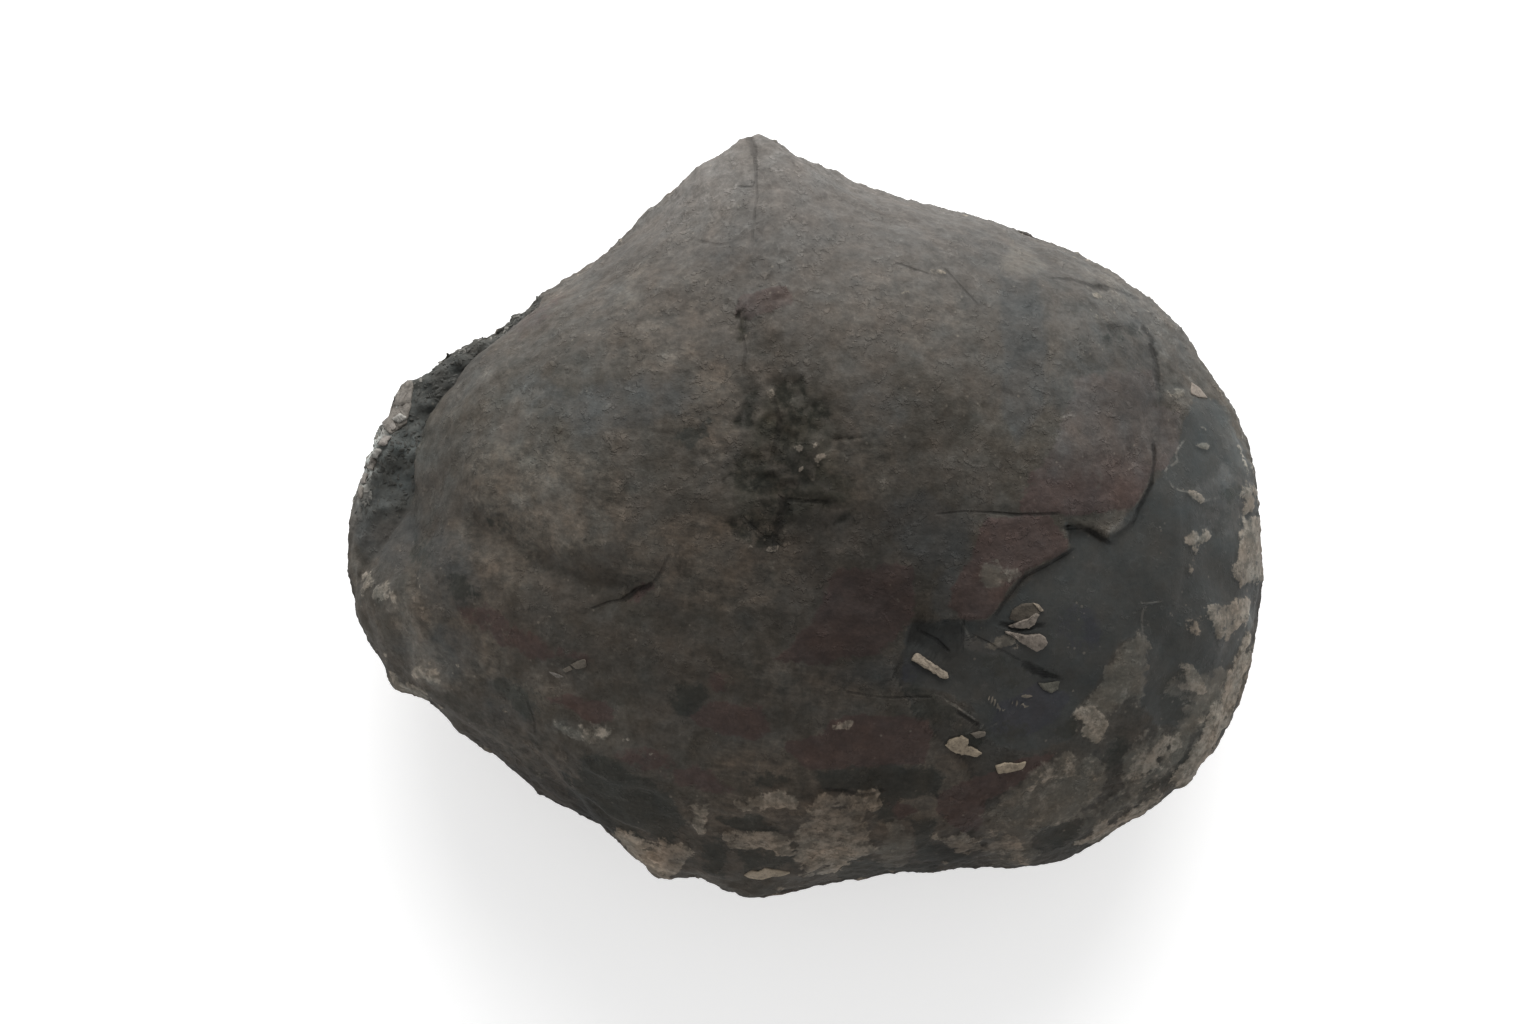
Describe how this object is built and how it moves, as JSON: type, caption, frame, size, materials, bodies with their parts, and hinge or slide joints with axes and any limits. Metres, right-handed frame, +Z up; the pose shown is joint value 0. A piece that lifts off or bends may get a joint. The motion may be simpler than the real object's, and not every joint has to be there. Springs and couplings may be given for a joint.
{
  "type": "fossil brachiopod",
  "caption": "Dark stone fossil lamp shell with both valves shut, a pointed beak, flaked patches and a broken left edge, lying flat.",
  "frame": {"origin": "the middle of the box in plan, on the surface that the fossil lies on", "axes": "+X to the shell's right with the beak away from the viewer, +Y towards the beak, +Z up out of the pedicle valve"},
  "size_m": [0.08, 0.0662, 0.034],
  "materials": {
    "fossil_stone": "dull weathered stone"
  },
  "bodies": {
    "root": {"fossil_brachiopod": "fossil_stone"}
  },
  "joints": []
}
